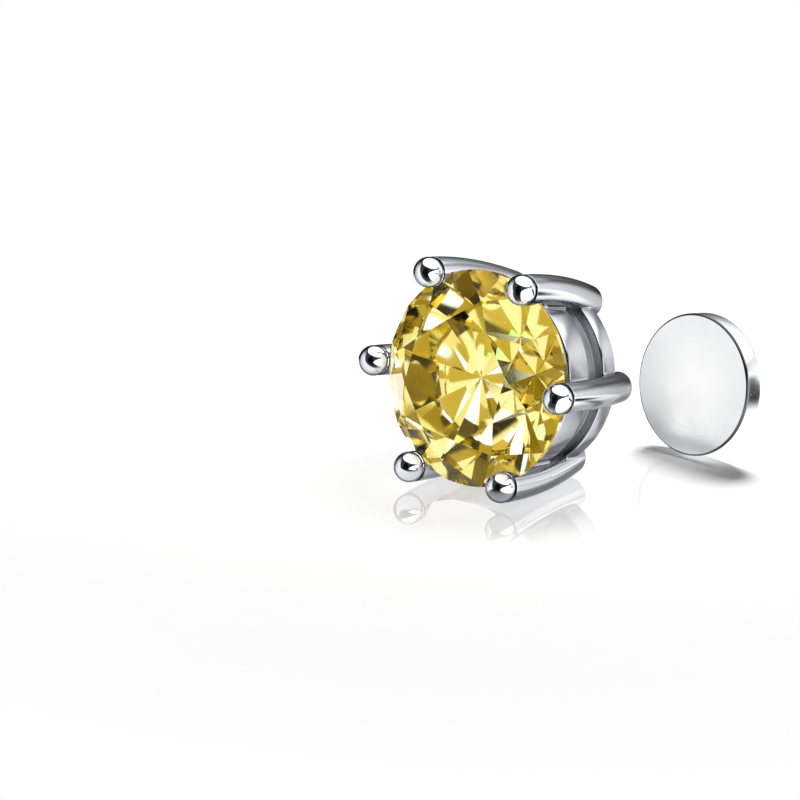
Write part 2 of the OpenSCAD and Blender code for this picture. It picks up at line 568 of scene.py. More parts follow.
def own_place(g: Graph, own: OwnFrame) -> NodeSocket:
    """Gives the shaded point in a piece's own millimetres."""
    inputs = {"Vector": g.node("ShaderNodeTexCoord").outputs["Object"], "Scale": (MM, MM, MM)}
    inputs |= {"Location": tuple(own.origin), "Rotation": tuple(own.turn.to_euler())}
    return g.node("ShaderNodeMapping", inputs, vector_type="TEXTURE").outputs[0]


@dataclass(frozen=True)
class PolishedSilver:
    """Bright silver: polished balls, brush-finished prongs and rails, and duller recesses. Painted shade
    darkens the bodies, the groove, the necks and the edges turned from view, and, with some tarnish, the
    rails beside the joints.

    Attributes:
        bright: Colour of the polished balls.
        brushed_shaded: Colour of the brush-finished prongs and rails, darker than the balls as painted
            shade.
        golden: Colour painted on the metal where it is seen through the stone, as a painted tint of the
            stone's yellow light.
        tarnish_and_shade: Colour of the rails beside the prongs' joints, tarnished where a buff doesn't
            reach and darkened as painted shade.
        satin_and_shade: Colour of the duller wall down in the groove, darkened as painted shade in the
            recess.
        neck_and_rim_shade: Colour of the painted shade in the fine neck behind a prong's ball, and of the
            painted dark rim where the metal turns away from view.
        roughness: Roughness of the polished metal.
        groove_radius: Metal nearer to the head's axis than this is in a recess, in millimetres.
        rail_radius: Outside of the rails, which are darker beside the prongs' joints, tarnished and with
            painted shade.
        neck: Height of the middle of the necks.
        prongs: Number of prongs, beside which the rails are tarnished and darkened with painted shade.
    """

    bright: Colour = (0.83, 0.843, 0.89)
    brushed_shaded: Colour = (0.6, 0.61, 0.65)
    golden: Colour = (0.8, 0.56, 0.14)
    tarnish_and_shade: Colour = (0.27, 0.278, 0.31)
    satin_and_shade: Colour = (0.4, 0.408, 0.44)
    neck_and_rim_shade: Colour = (0.02, 0.02, 0.024)
    roughness: float = 0.035
    groove_radius: float = 3.3
    rail_radius: float = 3.583
    neck: float = -0.234
    prongs: int = 6

    def make(self, own: OwnFrame) -> Material:
        """Makes the material, with its pattern about the head's axis."""
        material, g, shader, out = new_material("polished_silver")
        place = own_place(g, own)
        x, y, z = g.split(place)
        radius = axis_distance(g, x, y)
        # Painted shade: metal in the groove and further in towards the axis is darker.
        recess = g.ramp(radius, self.groove_radius + 0.12, self.groove_radius - 0.06)
        open_metal = g.math("SUBTRACT", 1.0, recess)
        half_step = math.pi / self.prongs
        step = g.math("WRAP", g.math("ARCTAN2", y, x), half_step, -half_step)
        # Painted shade, with some tarnish: the rails darken beside each prong's joint.
        beside = g.ramp(g.math("ABSOLUTE", step), *degrees(10.0, 25.0), 0.8, 0.0)
        on_rail = g.ramp(radius, self.rail_radius + 0.08, self.rail_radius + 0.03)
        joint = g.math("MULTIPLY", beside, on_rail)
        stain_and_shade = g.math("MULTIPLY", joint, g.ramp(g.noise(place, 3.0, 4.0), 0.25, 0.75, 0.85, 1.0))
        # Painted shade: a dark line in the fine neck behind each ball.
        neck = g.ramp(g.math("ABSOLUTE", g.math("SUBTRACT", z, self.neck)), 0.028, 0.018)
        # Painted shade: below the necks the prongs and rails take a darker colour than the balls.
        body = g.ramp(z, self.neck, self.neck - 0.2)
        base = g.math("MULTIPLY_ADD", body, 0.05, self.roughness)
        lines = g.math("MULTIPLY", g.math("MULTIPLY_ADD", body, 0.09, 0.03), open_metal)
        polish = fine_polish(g, place, base, lines, 1.0)
        metal = g.mix(stain_and_shade, g.mix(body, self.bright, self.brushed_shaded), self.tarnish_and_shade)
        metal = g.mix(neck, g.mix(recess, metal, self.satin_and_shade), self.neck_and_rim_shade)
        # Painted shade: a dark rim where the metal turns away from view, softer on the bodies and none in
        # the recesses.
        facing = g.node("ShaderNodeLayerWeight", {"Blend": 0.5}).outputs["Facing"]
        rim = g.math("MULTIPLY", g.ramp(facing, 0.42, 0.67), g.math("MULTIPLY_ADD", body, -0.4, 0.95))
        metal = g.mix(g.math("MULTIPLY", rim, open_metal), metal, self.neck_and_rim_shade)
        # Painted tint: metal seen through the stone turns golden, standing in for the stone's yellow light.
        under_stone = g.node("ShaderNodeLightPath").outputs["Is Transmission Ray"]
        metal = g.mix(under_stone, metal, self.golden)
        dull = g.math("MULTIPLY_ADD", g.math("MAXIMUM", recess, neck), 0.4, g.math("MULTIPLY", stain_and_shade, 0.2))
        bump = {"Strength": 0.35, "Distance": 1.5e-6, "Height": polish["Height"]}
        set_metal(g, shader, metal, g.math("ADD", polish["Roughness"], dull), bump)
        # Painted reflection: from afar, this metal shows in other pieces' rough mirror images as plain white
        # light.
        show_when_mirrored(g, out, plain_light(g, 1.0), FROM_AFAR)
        return material


@dataclass(frozen=True)
class YellowStone:
    """Clear canary-yellow stone, with faint zones in its colour.

    Attributes:
        clear: Colour of its paler zones.
        deep: Colour of its deeper zones.
        index: Refractive index.
        absorption: Colour that its body lets through.
        density: How strongly its body takes light away, per metre.
        shine: How much its faces mirror.
        roughness: Roughness of a facet, and of its polishing lines.
    """

    clear: Colour = (1.0, 0.99, 0.86)
    deep: Colour = (1.0, 0.985, 0.7)
    index: float = 2.42
    absorption: Colour = (0.99, 0.96, 0.6)
    density: float = 120.0
    shine: Colour = (0.26, 0.2, 0.04)
    roughness: Point2 = (0.028, 0.034)

    def make(self, own: OwnFrame) -> Material:
        """Makes the material of the facets."""
        material, g, shader, out = new_material("yellow_stone")
        place = own_place(g, own)
        zones = g.ramp(g.noise(place, 0.45, 2.0), 0.35, 0.65)
        lines = g.node("ShaderNodeMapping", {"Vector": place, "Scale": (60.0, 2.0, 2.0)}).outputs[0]
        hair = g.ramp(g.noise(lines, 1.5, 2.0), 0.55, 0.8, *self.roughness)
        g.fill(shader, {"Base Color": g.mix(zones, self.clear, self.deep), "Roughness": hair})
        g.fill(shader, {"IOR": self.index, "Transmission Weight": 1.0, "Specular Tint": self.shine})
        body = {"Color": self.absorption, "Density": self.density}
        g.fill(out, {"Volume": g.node("ShaderNodeVolumeAbsorption", body).outputs[0]})
        # Painted reflection: the table's mirror shows the stone as plain pale light, and the metal's mirror
        # images leave it out.
        path = g.node("ShaderNodeLightPath").outputs
        empty = g.node("ShaderNodeBsdfTransparent")
        pale = {0: path["Is Singular Ray"], 1: empty.outputs[0], 2: plain_light(g, 0.9).outputs[0]}
        show_when_mirrored(g, out, g.node("ShaderNodeMixShader", pale), 0.0, table=True)
        return material


@dataclass(frozen=True)
class TurnedNickel:
    """Nickel plate over a ground magnet, with the rings that grinding left.

    Attributes:
        name: The material's name.
        plate: Colour of the plate.
        worn: Colour where it is duller.
        dark: Colour of the painted shade on its front edge.
        roughness: Its roughness.
        rings: Grinding rings in each millimetre.
        mirrored: Whether it shows in other pieces' mirror images from afar, as plain light.
        edge_radius: Where the painted shade on its front edge starts, in millimetres; past the piece for
            none.
    """

    name: str
    plate: Colour = (0.98, 0.98, 0.98)
    worn: Colour = (0.88, 0.885, 0.895)
    dark: Colour = (0.1, 0.1, 0.105)
    roughness: float = 0.16
    rings: float = 9.0
    mirrored: bool = True
    edge_radius: float = 99.0

    def make(self, own: OwnFrame) -> Material:
        """Makes the material, with its rings about the piece's axis."""
        material, g, shader, out = new_material(self.name)
        place = own_place(g, own)
        x, y, z = g.split(place)
        radius = axis_distance(g, x, y)
        wobble = g.math("MULTIPLY", g.noise(place, 1.2, 3.0), 1.4)
        ring_at = g.math("ADD", g.math("MULTIPLY", radius, self.rings), wobble)
        steps = {"W": ring_at, "Scale": 1.0, "Detail": 3.0}
        ring = g.node("ShaderNodeTexNoise", steps, noise_dimensions="1D").outputs[0]
        polish = fine_polish(g, place, self.roughness, 0.12, 0.5)
        cloud = g.math("MULTIPLY", g.noise(place, 0.9, 4.0), 0.5)
        outer = g.ramp(g.math("ADD", radius, cloud), 0.6, 3.1)
        # Painted shade: a dark band round the rounded front edge.
        edge_shade = g.ramp(radius, self.edge_radius, self.edge_radius + 0.03)
        edge_shade = g.math("MULTIPLY", edge_shade, g.ramp(z, -0.1, -0.07))
        plate = g.mix(edge_shade, g.mix(outer, self.plate, self.worn), self.dark)
        turned = g.math("MULTIPLY", g.ramp(ring, 0.4, 0.7), 0.04)
        height = g.math("ADD", polish["Height"], g.math("MULTIPLY", ring, 0.6))
        bump = {"Strength": 0.08, "Distance": 1e-6, "Height": height}
        set_metal(g, shader, plate, g.math("ADD", polish["Roughness"], turned), bump)
        other = plain_light(g, 1.0) if self.mirrored else g.node("ShaderNodeBsdfTransparent")
        show_when_mirrored(g, out, other, FROM_AFAR, self.mirrored)
        return material


# The head


@dataclass(frozen=True)
class HeadDepths:
    """Heights in the head, in millimetres, with zero at the centres of the prong tips."""

    girdle_top: float = -0.654
    girdle_end: float = -0.894
    upper_rail_top: float = -1.614
    upper_rail_end: float = -2.854
    lower_rail_top: float = -3.774
    lower_rail_end: float = -4.564
    ledge: float = -4.414
    back: float = -5.144
    point: float = -4.334


@dataclass
class Brilliant(Piece):
    """The round brilliant: a table, 8 stars, 8 mains and 16 halves above, 16 halves and 8 mains below.

    Attributes:
        radius: Radius of the girdle.
        table_radius: Radius of the table's corners.
        crown: Height of the crown.
        pavilion: Depth of the pavilion.
        turn: Turn of the facets, in degrees.
        mains: Number of mains.
        edge_steps: Points along the girdle edge of one half facet.
        star_share: How far the stars reach to the girdle.
        lower_share: How far the lower halves reach to the point.
        sharp: Angle above which an edge is sharp, in degrees.
    """

    slot = "yellow_stone"
    node = "stone"
    depths: HeadDepths
    radius: float = 4.0
    table_radius: float = 2.28
    crown: float = 1.3
    pavilion: float = 3.44
    turn: float = 12.0
    mains: int = 8
    edge_steps: int = 8
    star_share: float = 0.5
    lower_share: float = 0.77
    sharp: float = 8.0

    @property
    def half_step(self) -> float:
        """Half the angle between two mains."""
        return math.pi / self.mains

    @property
    def star_tip(self) -> Point2:
        """Radius and height of a star's outer tip above the girdle."""
        slope = self.crown / (self.radius - self.table_radius)
        inner = self.table_radius * math.cos(self.half_step)
        radius = inner * (1 - self.star_share) + self.radius * self.star_share
        return radius, self.crown - slope * (radius * math.cos(self.half_step) - self.table_radius)

    @property
    def lower_tip(self) -> Point2:
        """Radius and depth of a lower half's inner tip below the girdle."""
        radius = self.radius * (1 - self.lower_share)
        slope = self.pavilion / self.radius
        return radius, self.pavilion - slope * radius * math.cos(self.half_step)

    def edge_height(self, i: int, tip: Point2) -> float:
        """Finds where a half facet's plane meets the round girdle.

        Args:
            i: Number of the point round the edge.
            tip: Radius and height of the facet's inner tip.

        Returns:
            Height of the edge at that point.
        """
        facet = (i // self.edge_steps) % (2 * self.mains)
        tip_angle = (2 * (facet // 2) + 1) * self.half_step
        corners = [
            self.polar(tip[0], tip[1], tip_angle),
            self.polar(self.radius, 0.0, facet * self.half_step),
            self.polar(self.radius, 0.0, (facet + 1) * self.half_step),
        ]
        here = self.polar(self.radius, 0.0, i * self.half_step / self.edge_steps)
        normal = (corners[1] - corners[0]).cross(corners[2] - corners[0])
        away = here - corners[0]
        return corners[0].z - (normal.x * away.x + normal.y * away.y) / normal.z

    @staticmethod
    def polar(radius: float, height: float, angle: float) -> Vector:
        """The point at a radius, a height and an angle."""
        return Vector((radius * math.cos(angle), radius * math.sin(angle), height))

    def room(self, gap: float, segments: int) -> Object:
        """Makes the room that the metal leaves round the stone.

        Args:
            gap: Space between the stone and the metal.
            segments: Steps round the axis.

        Returns:
            The room, in the head's millimetres.
        """
        d = self.depths
        star, lower = self.star_tip, self.lower_tip
        outline = [
            (0.0, d.girdle_top + self.crown + gap),
            (self.table_radius + gap, d.girdle_top + self.crown + gap),
            (star[0] + gap, d.girdle_top + star[1] + gap),
            (self.radius + gap, d.girdle_top + gap),
            (self.radius + gap, d.girdle_end - gap),
            (lower[0] + gap, d.girdle_end - lower[1] - gap),
            (0.0, d.point - gap),
        ]
        return lathe("stone_room", outline, segments, closed=False)

    def make(self, material: Material) -> Object:
        """Cuts the stone, with flat facets and a round girdle."""
        n, steps = self.mains, self.edge_steps
        edge = 2 * n * steps
        thick = self.depths.girdle_top - self.depths.girdle_end
        star, lower = self.star_tip, self.lower_tip
        below = (lower[0], -lower[1])
        edge_angle = self.half_step / steps
        points = [self.polar(self.table_radius, self.crown, 2 * i * self.half_step) for i in range(n)]
        points += [self.polar(*star, (2 * i + 1) * self.half_step) for i in range(n)]
        for tip, drop in ((star, 0.0), (below, thick)):
            heights = [self.edge_height(i, tip) - drop for i in range(edge)]
            points += [self.polar(self.radius, z, i * edge_angle) for i, z in enumerate(heights)]
        points += [self.polar(below[0], below[1] - thick, (2 * i + 1) * self.half_step) for i in range(n)]
        points.append(Vector((0.0, 0.0, -self.pavilion - thick)))
        top, end = 2 * n, 2 * n + edge
        tips, culet = end + edge, end + edge + n
        run = 2 * steps
        faces: list[list[int]] = [list(range(n))]
        for i in range(n):
            after, before = (i + 1) % n, (i - 1) % n
            faces.append([i, n + i, after])
            faces.append([i, n + before, top + i * run, n + i])
            faces.append([culet, tips + i, end + i * run, tips + before])
            for start in (i * run, i * run + steps):
                along = [(start + k) % edge for k in range(steps + 1)]
                faces.append([n + i] + [top + k for k in along])
                faces.append([tips + i] + [end + k for k in reversed(along)])
        flat = len(faces)
        for i in range(edge):
            j = (i + 1) % edge
            faces.append([top + j, top + i, end + i, end + j])
        obj = mesh_object("brilliant", points, faces, smooth=False)
        for face in list(obj.data.polygons)[flat:]:
            face.use_smooth = True
        obj.data.transform(Matrix.Rotation(math.radians(self.turn), 4, "Z"))
        obj.data.transform(Matrix.Translation((0.0, 0.0, self.depths.girdle_top)))
        close_up(obj)
        set_sharp(obj, self.sharp)
        return obj


def repeat_round(g: Graph, piece: Any, count: Any, material: Any) -> NodeSocket:
    """Repeats a piece about the head's axis, as the end of a Geometry Nodes tree.

    Args:
        g: The tree's graph.
        piece: The socket of the piece.
        count: The socket of its number.
        material: The socket of its material.

    Returns:
        The socket of the whole ring, with its material.
    """
    spots = g.node("GeometryNodePoints", {"Count": count}).outputs[0]
    index = g.node("GeometryNodeInputIndex").outputs[0]
    turned = g.math("MULTIPLY", index, g.math("DIVIDE", 2 * math.pi, count))
    turn = g.node("ShaderNodeCombineXYZ", {2: turned}).outputs[0]
    inputs = {"Points": spots, "Instance": piece, "Rotation": turn}
    ring = g.node("GeometryNodeInstanceOnPoints", inputs).outputs[0]
    whole = g.node("GeometryNodeRealizeInstances", {"Geometry": ring}).outputs[0]
    return g.node("GeometryNodeSetMaterial", {"Geometry": whole, "Material": material}).outputs[0]


def make_prong_sweep() -> NodeTree:
    """Makes the tree that sweeps a round wire along a prong's path and repeats it about the head's axis.

    The path's points carry "wire", their share of the wire's radius, and "foot", which is 1 where the
    wire's section lies level with the head's back.

    Returns:
        The Geometry Nodes tree.
    """
    inputs = {
        "Path": Shape.GEOMETRY,
        "Wire Radius": Shape.VALUE,
        "Sides": Shape.COUNT,
        "Prongs": Shape.COUNT,
        "Material": Shape.MATERIAL,
    }
    g, start, end = make_group("prong_sweep", "GeometryNodeTree", inputs, {"Prongs": Shape.GEOMETRY})
    curve = g.node("GeometryNodeMeshToCurve", {"Mesh": start.outputs["Path"]}).outputs[0]
    for name, kind in (("centre", "GeometryNodeInputPosition"), ("along", "GeometryNodeInputTangent")):
        stored = {"Geometry": curve, "Name": name, "Value": g.node(kind).outputs[0]}
        curve = g.node("GeometryNodeStoreNamedAttribute", stored, data_type="FLOAT_VECTOR").outputs[0]

    def named(name: str, kind: str) -> NodeSocket:
        """Reads one of the path's values."""
        return g.node("GeometryNodeInputNamedAttribute", {"Name": name}, data_type=kind).outputs[0]

    wire = named("wire", "FLOAT")
    curve = g.node("GeometryNodeSetCurveRadius", {"Curve": curve, "Radius": wire}).outputs[0]
    section = g.node(
        "GeometryNodeCurvePrimitiveCircle",
        {"Resolution": start.outputs["Sides"], "Radius": start.outputs["Wire Radius"]},
    ).outputs[0]
    swept = g.node("GeometryNodeCurveToMesh", {"Curve": curve, "Profile Curve": section})
    if "Scale" in swept.inputs:
        g.fill(swept, {"Scale": wire})
    mesh = swept.outputs[0]
    here = g.split(g.node("GeometryNodeInputPosition").outputs[0])[2]
    level = g.split(named("centre", "FLOAT_VECTOR"))[2]
    along = named("along", "FLOAT_VECTOR")
    rise = g.math("DIVIDE", g.math("SUBTRACT", level, here), g.split(along)[2])
    shift = g.math("MULTIPLY", rise, named("foot", "FLOAT"))
    scaled = g.node("ShaderNodeVectorMath", {0: along, "Scale": shift}, operation="SCALE").outputs[0]
    mesh = g.node("GeometryNodeSetPosition", {"Geometry": mesh, "Offset": scaled}).outputs[0]
    mesh = g.node("GeometryNodeSetShadeSmooth", {"Geometry": mesh}).outputs[0]
    mesh = g.node("GeometryNodeMergeByDistance", {"Geometry": mesh, "Distance": 2e-4}).outputs[0]
    ring = repeat_round(g, mesh, start.outputs["Prongs"], start.outputs["Material"])
    g.fill(end, {"Prongs": ring})
    return g.tree


@dataclass
class Prongs(Piece):
    """Six arched prongs with domed tips, notched for the stone, and rounded at their feet.

    Attributes:
        wire_radius: Radius of the wire.
        tip_circle: Radius of the circle of the tips' centres.
        arc: Radius of the arc that a prong follows.
        foot_round: Rounding of the foot's edge.
        ball_share: How far a ball goes on behind its middle, in degrees.
        neck: Length of the fine neck behind a ball.
        neck_shape: How far along the neck, and how much of the full wire it has again there.
        body_gap: Length left free behind the neck.
        level_from: Share of the body after which its sections turn level with the head's back.
        count: Number of prongs.
        sides: Sides of the wire's section.
        dome_steps: Steps along a ball.
        body_steps: Steps along the body.
        foot_steps: Steps round the foot's edge.
        stone_gap: Space between a notch and the stone.
        room_segments: Steps round a notch's cutter.
        sharp: Angle above which an edge is sharp, in degrees.
        on_wire: How near to the round wire a point counts as on it.
    """

    slot = "polished_silver"
    node = "setting"
    depths: HeadDepths
    stone: Brilliant
    wire_radius: float = 0.569
    tip_circle: float = 4.21
    arc: float = 16.0
    foot_round: float = 0.11
    ball_share: float = 22.0
    neck: float = 0.043
    neck_shape: tuple[Point2, ...] = ((0.25, 0.05), (0.7, 0.8), (1.0, 1.0))
    body_gap: float = 0.02
    level_from: float = 0.6
    count: int = 6
    sides: int = 80
    dome_steps: int = 25
    body_steps: int = 60
    foot_steps: int = 6
    stone_gap: float = 0.03
    room_segments: int = 192
    sharp: float = 28.0
    on_wire: float = 9e-4

    @property
    def ball_end(self) -> float:
        """Height at which a ball passes into its neck."""
        return -self.wire_radius * math.sin(math.radians(self.ball_share))

    def axis_radius(self, z: float) -> float:
        """Distance of a prong's middle from the head's axis at a height."""
        return self.tip_circle - self.arc + math.sqrt(self.arc**2 - z**2)

    def path(self) -> Object:
        """Makes the middle line of one prong, from its tip to its foot, with what the sweep reads."""
        quarter = math.pi / 2
        rows: list[tuple[float, float, float, float]] = []
        under = math.radians(self.ball_share)
        for i in range(self.dome_steps + 1):
            a = quarter - (quarter + under) * i / self.dome_steps
            rows.append((self.tip_circle, self.wire_radius * math.sin(a), math.cos(a), 0.0))
        thin = math.cos(under)
        for back, out in self.neck_shape:
            z = self.ball_end - self.neck * back
            rows.append((self.axis_radius(z), z, thin + (1 - thin) * out, 0.0))
        body_start = rows[-1][1] - self.body_gap
        foot_start = self.depths.back + self.foot_round
        end_angle = math.asin(-foot_start / self.arc)
        for i in range(self.body_steps + 1):
            z = -self.arc * math.sin(end_angle * i / self.body_steps)
            level = max(0.0, (i / self.body_steps - self.level_from) / (1 - self.level_from))
            if z < body_start:
                rows.append((self.axis_radius(z), z, 1.0, level))
        share = self.foot_round / self.wire_radius
        for i in range(1, self.foot_steps + 1):
            a = quarter * i / self.foot_steps
            z = foot_start - self.foot_round * math.sin(a)
            rows.append((self.axis_radius(z), z, 1 - share * (1 - math.cos(a)), 1.0))
        rows.append((rows[-1][0], self.depths.back - 1e-4, 0.0, 1.0))
        mesh = bpy.data.meshes.new("prongs")
        edges = [(i, i + 1) for i in range(len(rows) - 1)]
        mesh.from_pydata([(r[0], 0.0, r[1]) for r in rows], edges, [])
        for name, column in (("wire", 2), ("foot", 3)):
            values = mesh.attributes.new(name, "FLOAT", "POINT")
            values.data.foreach_set("value", [r[column] for r in rows])
        obj = bpy.data.objects.new("prongs", mesh)
        bpy.context.scene.collection.objects.link(obj)
        return obj

    def true_normals(self, mesh: Mesh) -> None:
        """Gives the wire its exact normals, so that the notches don't disturb its reflections."""
        points = np.empty(len(mesh.vertices) * 3)
        mesh.vertices.foreach_get("co", points)
        points = points.reshape(-1, 3)
        step = 2 * math.pi / self.count
        sector = np.round(np.arctan2(points[:, 1], points[:, 0]) / step) * step
        cos, sin = np.cos(sector), np.sin(sector)
        x = points[:, 0] * cos + points[:, 1] * sin
        y = points[:, 1] * cos - points[:, 0] * sin
        z = points[:, 2]
        along = np.where(z > self.ball_end - 1e-3, 0.0, z)
        bend = np.arctan2(along, x - self.tip_circle + self.arc)
        mid_x = self.tip_circle - self.arc + self.arc * np.cos(bend)
        mid_z = self.arc * np.sin(bend)
        away = np.stack([x - mid_x, y, z - mid_z], axis=-1)
        reach = np.linalg.norm(away, axis=-1)
        on_wire = np.abs(reach - self.wire_radius) < self.on_wire
        away /= np.maximum(reach, 1e-6)[:, None]
        turned = np.stack(
            [away[:, 0] * cos - away[:, 1] * sin, away[:, 0] * sin + away[:, 1] * cos, away[:, 2]], axis=-1
        )
        normals = np.empty(len(mesh.loops) * 3)
        mesh.corner_normals.foreach_get("vector", normals)
        normals = normals.reshape(-1, 3)
        for face in mesh.polygons:
            corners = list(face.vertices)
            if on_wire[corners].all() and turned[corners].mean(axis=0) @ np.array(face.normal) > 0.9:
                normals[face.loop_start : face.loop_start + face.loop_total] = turned[corners]
        mesh.normals_split_custom_set(normals)

    def make(self, material: Material) -> Object:
        """Sweeps the prongs and notches them for the stone."""
        obj = self.path()
        values = {"Wire Radius": self.wire_radius, "Sides": self.sides, "Prongs": self.count}
        run_nodes(obj, make_prong_sweep(), {**values, "Material": material})
        close_up(obj, 1e-4)
        cut_away(obj, self.stone.room(self.stone_gap, self.room_segments))
        set_sharp(obj, self.sharp)
        self.true_normals(obj.data)
        return obj


@dataclass
class Gallery(Piece):
    """The basket's rails, the groove between them, and the boss round the magnet.

    Attributes:
        rail_radius: Radius of both rails.
        groove_radius: Radius of the wall between them.
        boss_radius: Radius of the boss at the back.
        pocket_radius: Radius of the magnet's pocket.
        bore_radius: Radius of the hole behind the stone.
        edge_round: Rounding of the rails' edges.
        inner_round: Rounding in the corners of the groove.
        fine_round: Rounding of the edges inside.
        stone_gap: Space between the seat and the stone.
        segments: Steps round the axis.
        corner_steps: Straight pieces in a rounding.
        sharp: Angle above which an edge is sharp, in degrees.
    """

    slot = "polished_silver"
    node = "setting"
    depths: HeadDepths
    stone: Brilliant
    rail_radius: float = 3.583
    groove_radius: float = 3.163
    boss_radius: float = 2.9
    pocket_radius: float = 2.33
    bore_radius: float = 1.9
    edge_round: float = 0.075
    inner_round: float = 0.05
    fine_round: float = 0.03
    stone_gap: float = 0.03
    segments: int = 288
    corner_steps: int = 5
    sharp: float = 30.0

    def seat_radius(self, z: float) -> float:
        """Radius of the seat for the stone's pavilion at a height."""
        d = self.depths
        lower = self.stone.lower_tip
        drop = (d.girdle_end - self.stone_gap - z) / lower[1]
        return self.stone.radius + self.stone_gap - (self.stone.radius - lower[0]) * drop

    def make(self, material: Material) -> Object:
        """Turns the gallery."""
        d = self.depths
        slope = (self.stone.radius - self.stone.lower_tip[0]) / self.stone.lower_tip[1]
        seat_end = d.upper_rail_top - (self.seat_radius(d.upper_rail_top) - self.bore_radius) / slope
        edge, inner, fine = self.edge_round, self.inner_round, self.fine_round
        corners = [
            (self.bore_radius, d.ledge, fine),
            (self.bore_radius, seat_end, fine),
            (self.seat_radius(d.upper_rail_top), d.upper_rail_top, fine),
            (self.rail_radius, d.upper_rail_top, edge),
            (self.rail_radius, d.upper_rail_end, edge),
            (self.groove_radius, d.upper_rail_end, inner),
            (self.groove_radius, d.lower_rail_top, inner),
            (self.rail_radius, d.lower_rail_top, edge),
            (self.rail_radius, d.lower_rail_end, edge),
            (self.boss_radius, d.lower_rail_end, inner),
            (self.boss_radius, d.back, edge),
            (self.pocket_radius, d.back, fine),
            (self.pocket_radius, d.ledge, fine),
        ]
        outline = round_corners([c[:2] for c in corners], [c[2] for c in corners], self.corner_steps)
        obj = lathe("gallery", outline, self.segments, closed=True)
        set_sharp(obj, self.sharp)
        return obj


@dataclass
class Solder(Piece):
    """The small hollow fillets of solder where each prong meets a rail.

    Attributes:
        fillet: Radius of the fillet.
        sunk: How far its inner edge lies in the metal, in fillet radii.
        margin: How far it ends from the rail's faces.
        arc_steps: Straight pieces across it.
        rows: Sections along it.
        tries: Halvings in the search for its centre.
        sharp: Angle above which an edge is sharp, in degrees.
    """

    slot = "polished_silver"
    node = "setting"
    depths: HeadDepths
    prongs: Prongs
    gallery: Gallery
    fillet: float = 0.1
    sunk: float = 2.4
    margin: float = 0.012
    arc_steps: int = 7
    rows: int = 22
    tries: int = 40
    sharp: float = 35.0

    def rail_surface(self, z: float, top: float, end: float) -> float:
        """Radius of a rail's surface at a height, with its rounded edges."""
        rounding = self.gallery.edge_round
        inside = max(0.0, rounding - min(top - z, z - end))
        return self.gallery.rail_radius - rounding + math.sqrt(max(rounding**2 - inside**2, 0.0))

    def section(self, z: float, top: float, end: float) -> list[Point2]:
        """Finds the fillet's outline at a height, on the left of the prong at angle 0.

        Args:
            z: The height.
            top: Top of the rail.
            end: End of the rail.

        Returns:
            Points from the rail round to the prong, then one inside both.
        """
        rail = self.rail_surface(z, top, end)
        middle = self.prongs.axis_radius(z)
        wire = self.prongs.wire_radius
        stretch = 1 / math.sqrt(1 - (z / self.prongs.arc) ** 2)

        def centre_at(angle: float) -> tuple[Vector, Vector]:
            """The fillet's centre if it touches the wire at this angle, and the point of touch."""
            touch = Vector((middle + wire * stretch * math.cos(angle), wire * math.sin(angle)))
            normal = Vector((math.cos(angle) / stretch, math.sin(angle))).normalized()
            return touch + normal * self.fillet, touch

        low, high = math.pi / 2, math.pi
        for _ in range(self.tries):
            mid = (low + high) / 2
            if centre_at(mid)[0].length > rail + self.fillet:
                low = mid
            else:
                high = mid
        centre, touch = centre_at(low)
        start = -centre.normalized() * self.fillet
        points = arc_points(centre, start, touch - centre, self.arc_steps)
        inside = (Vector(points[0]) + Vector(points[-1])) / 2 - centre
        deep = centre + inside.normalized() * self.fillet * self.sunk
        return [*points, tuple(deep)]

    def strip(self, top: float, end: float, side: float) -> tuple[list[Vector], list[tuple[int, ...]]]:
        """Makes one fillet beside the prong at angle 0.

        Args:
            top: Top of the rail.
            end: End of the rail.
            side: 1 or -1, for the side of the prong.

        Returns:
            Its points and faces.
        """
        heights = np.linspace(top - self.margin, end + self.margin, self.rows)
        sections = [self.section(float(z), top, end) for z in heights]
        points = [Vector((p[0], p[1] * side, z)) for z, s in zip(heights, sections) for p in s]
        size = self.arc_steps + 2
        ends = [tuple(range(size)), tuple((self.rows - 1) * size + k for k in reversed(range(size)))]
        return points, ends + faces_between(self.rows, size)

    def make(self, material: Material) -> Object:
        """Runs solder down both sides of each prong, on both rails."""
        d = self.depths
        points: list[Vector] = []
        faces: list[list[int]] = []
        rails = ((d.upper_rail_top, d.upper_rail_end), (d.lower_rail_top, d.lower_rail_end))
        for top, end in rails:
            for side in (1.0, -1.0):
                more, rows = self.strip(top, end, side)
                faces += [[len(points) + k for k in face] for face in rows]
                points += more
        obj = mesh_object("solder", points, faces)
        close_up(obj)
        run_nodes(obj, make_repeat_ring(), {"Count": self.prongs.count, "Material": material})
        set_sharp(obj, self.sharp)
        return obj


def make_repeat_ring() -> NodeTree:
    """Makes the tree that repeats a piece about the head's axis.

    Returns:
        The Geometry Nodes tree.
    """
    inputs = {"Piece": Shape.GEOMETRY, "Count": Shape.COUNT, "Material": Shape.MATERIAL}
    g, start, end = make_group("repeat_ring", "GeometryNodeTree", inputs, {"Ring": Shape.GEOMETRY})
    ring = repeat_round(g, *(start.outputs[name] for name in inputs))
    g.fill(end, {"Ring": ring})
    return g.tree


@dataclass
class Magnet(Piece):
    """A plated disc magnet with softly rounded edges.

    Attributes:
        name: The piece's name.
        node: The CAD node that it stands for.
        slot: The record's material slot; not used.
        radius: Its radius.
        thickness: Its thickness.
        edge_round: Rounding of its edges.
        segments: Steps round the axis.
        corner_steps: Straight pieces in a rounding.
    """

    name: str
    node: str
    slot: str
    radius: float
    thickness: float
    edge_round: float
    segments: int = 256
    corner_steps: int = 8

    def make(self, material: Material) -> Object:
        """Turns the magnet, whose front face lies at zero in its frame."""
        corners = [(0.0, -self.thickness), (self.radius, -self.thickness), (self.radius, 0.0), (0.0, 0.0)]
        radii = [0.0, self.edge_round, self.edge_round, 0.0]
        outline = round_corners(corners, radii, self.corner_steps)
        return lathe(self.name, outline, self.segments, closed=False)


# The studio


